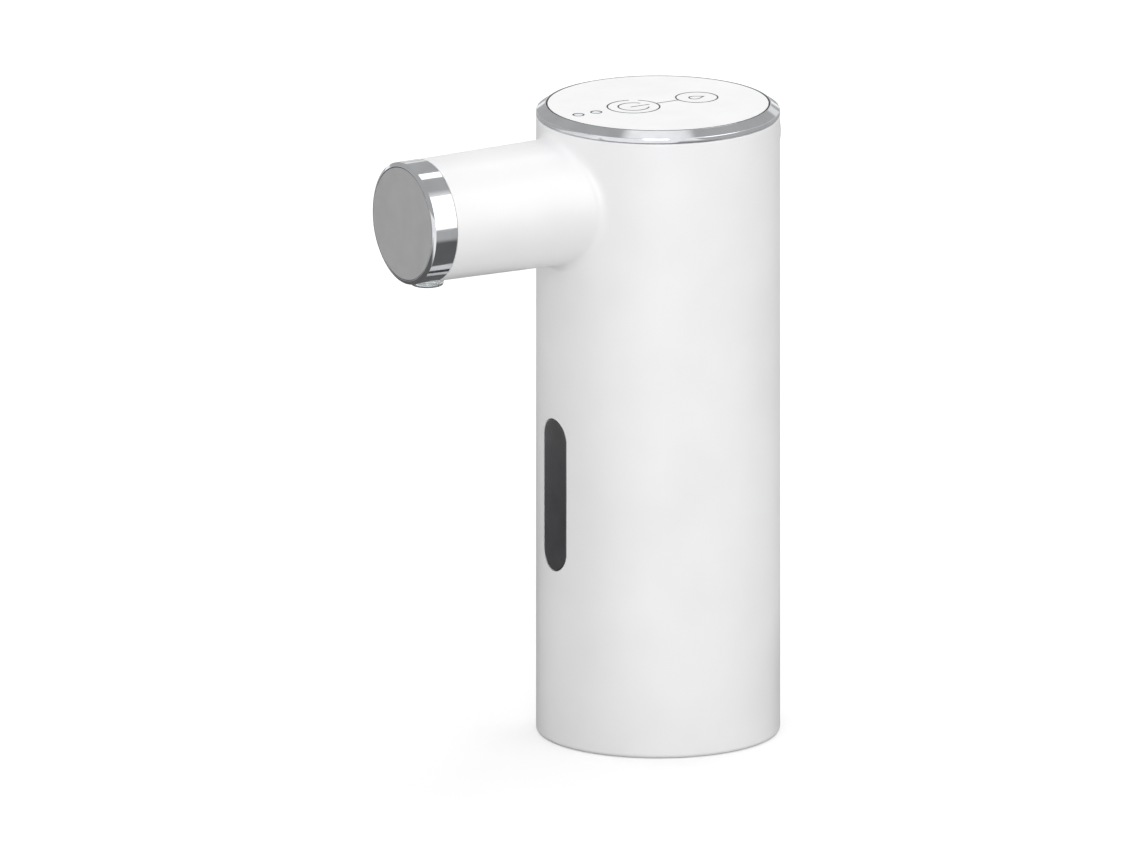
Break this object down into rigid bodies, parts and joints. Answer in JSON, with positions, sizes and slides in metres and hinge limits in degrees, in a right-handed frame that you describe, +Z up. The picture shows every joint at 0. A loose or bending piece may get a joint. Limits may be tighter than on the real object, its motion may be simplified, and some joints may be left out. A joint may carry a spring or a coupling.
{
  "type": "electric wine aerator",
  "caption": "Battery wine aerator and pourer: a round column that stands on a bottle's neck, with a spout arm, a touch panel and an air pump inside.",
  "frame": {"origin": "under the middle of the whole object, on the plane that the base rim stands on", "axes": "+Z up along the column, -Y along the spout arm, +X to the right seen from the spout's side"},
  "size_m": [0.046, 0.0804, 0.1218],
  "materials": {
    "white_shell": "white satin moulded ABS",
    "white_panel": "white glossy acrylic",
    "bright_ring": "polished chrome plating",
    "grey_cap": "satin grey anodised",
    "smoked_window": "smoked polycarbonate, polished",
    "clear_plastic": "clear food-grade plastic",
    "lens_plastic": "frosted light guide",
    "clear_silicone": "translucent silicone",
    "white_silicone": "white silicone",
    "grey_silicone": "grey silicone",
    "inner_plastic": "natural moulded plastic",
    "black_plastic": "black moulded plastic",
    "black_rubber": "black rubber",
    "steel": "plain steel",
    "magnet": "ferrite",
    "cell_sleeve": "shrink sleeve over a steel can",
    "circuit_board": "green solder resist",
    "red_lead": "red insulated wire",
    "black_lead": "black insulated wire"
  },
  "bodies": {
    "body": {"air_hose": "black_rubber", "battery_cell": "cell_sleeve", "battery_lead_minus": "black_lead", "battery_lead_plus": "red_lead", "body_housing": "white_shell", "bulkhead": "inner_plastic", "bulkhead_screw_1": "steel", "bulkhead_screw_2": "steel", "bulkhead_screw_3": "steel", "chassis": "inner_plastic", "indicator_led_front": "lens_plastic", "indicator_led_rear": "lens_plastic", "led_lens_front": "lens_plastic", "led_lens_rear": "lens_plastic", "main_board": "circuit_board", "motor_can": "steel", "motor_end_cap": "black_plastic", "motor_lead_minus": "black_lead", "motor_lead_plus": "red_lead", "motor_magnet_ring": "magnet", "outlet_nozzle": "clear_plastic", "port_cover_anchor": "white_silicone", "pump_base": "black_plastic", "pump_diaphragm": "black_rubber", "pump_head": "black_plastic", "pump_valve_plate": "inner_plastic", "riser_hose": "clear_silicone", "side_window": "smoked_window", "spout_elbow": "inner_plastic", "spout_end_cap": "grey_cap", "spout_hose": "clear_silicone", "spout_trim_ring": "bright_ring", "stopper": "grey_silicone", "stopper_core": "inner_plastic", "top_bezel_ring": "bright_ring", "touch_panel": "white_panel", "touch_spring_mode": "steel", "touch_spring_power": "steel", "usb_socket": "steel"},
    "crank": {"motor_shaft": "steel", "motor_rotor": "steel", "pump_eccentric": "inner_plastic", "pump_drive_pin": "steel"},
    "wobble": {"pump_wobble_plate": "black_plastic"},
    "cover": {"port_cover": "white_silicone"}
  },
  "joints": [
    {"name": "pump_spin", "type": "hinge", "parent": "body", "child": "crank", "pos_m": [-0.0083, 0.01865, 0.058], "axis": [0, 0, 1], "continuous": true},
    {"name": "wobble_turn", "type": "hinge", "parent": "crank", "child": "wobble", "pos_m": [-0.0083, 0.01865, 0.058], "axis": [0.1219, 0, 0.9925], "continuous": true, "deforming": ["pump_diaphragm"]},
    {"name": "port_cover_swing", "type": "hinge", "parent": "body", "child": "cover", "pos_m": [0, 0.0394, 0.11152], "axis": [-1, 0, 0], "range_deg": [0, 100]}
  ],
  "couplings": [
    {"joint": "wobble_turn", "follows": "pump_spin", "ratio": -1}
  ]
}
